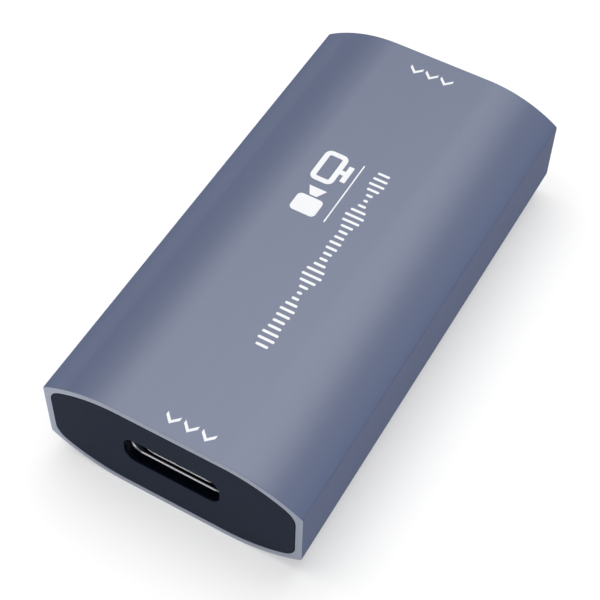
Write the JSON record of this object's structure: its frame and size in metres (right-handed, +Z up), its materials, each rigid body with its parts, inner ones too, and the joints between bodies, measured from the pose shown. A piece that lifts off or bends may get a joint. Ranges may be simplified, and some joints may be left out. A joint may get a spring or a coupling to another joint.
{
  "type": "video capture box",
  "caption": "Small oblong metal case with a flat crown, rounded shoulders and black end caps, with a video input socket at one end and a data output socket at the other.",
  "frame": {"origin": "middle of the flat underside", "axes": "+Z up, +Y along the length towards the video input socket, +X across the width"},
  "size_m": [0.029, 0.057, 0.0135],
  "materials": {
    "anodised_housing": "bead-blasted and anodised blue-grey, satin",
    "black_cap": "moulded, fine matte grain",
    "socket_steel": "nickel-plated, bright",
    "socket_plastic": "glass-filled, matte",
    "contact_gold": "gold-plated",
    "solder": "tin solder, satin",
    "board_laminate": "green solder mask, glossy",
    "chip_resin": "moulded epoxy, matte",
    "pad_silicone": "soft, matte",
    "crystal_can": "seam-welded lid, satin",
    "inductor_core": "pressed iron powder",
    "capacitor_body": "fired ceramic with tinned ends",
    "resistor_body": "dark glaze with tinned ends"
  },
  "bodies": {
    "root": {"housing_tube": "anodised_housing", "output_end_cap": "black_cap", "slot_trim_ring": "socket_steel", "input_end_cap": "black_cap", "circuit_board": "board_laminate", "data_socket_shell": "socket_steel", "data_socket_insulator": "socket_plastic", "data_socket_mid_plate": "socket_steel", "data_socket_contacts": "contact_gold", "video_socket_shell": "socket_steel", "video_socket_insulator": "socket_plastic", "video_socket_contacts": "contact_gold", "socket_solder_joints": "solder", "capture_processor": "chip_resin", "thermal_pad": "pad_silicone", "lane_switch": "chip_resin", "settings_memory": "chip_resin", "crystal": "crystal_can", "core_regulator": "chip_resin", "io_regulator": "chip_resin", "power_inductor": "inductor_core", "reservoir_capacitors": "capacitor_body", "decoupling_capacitors": "capacitor_body", "signal_resistors": "resistor_body", "surge_protectors": "chip_resin"}
  },
  "joints": []
}
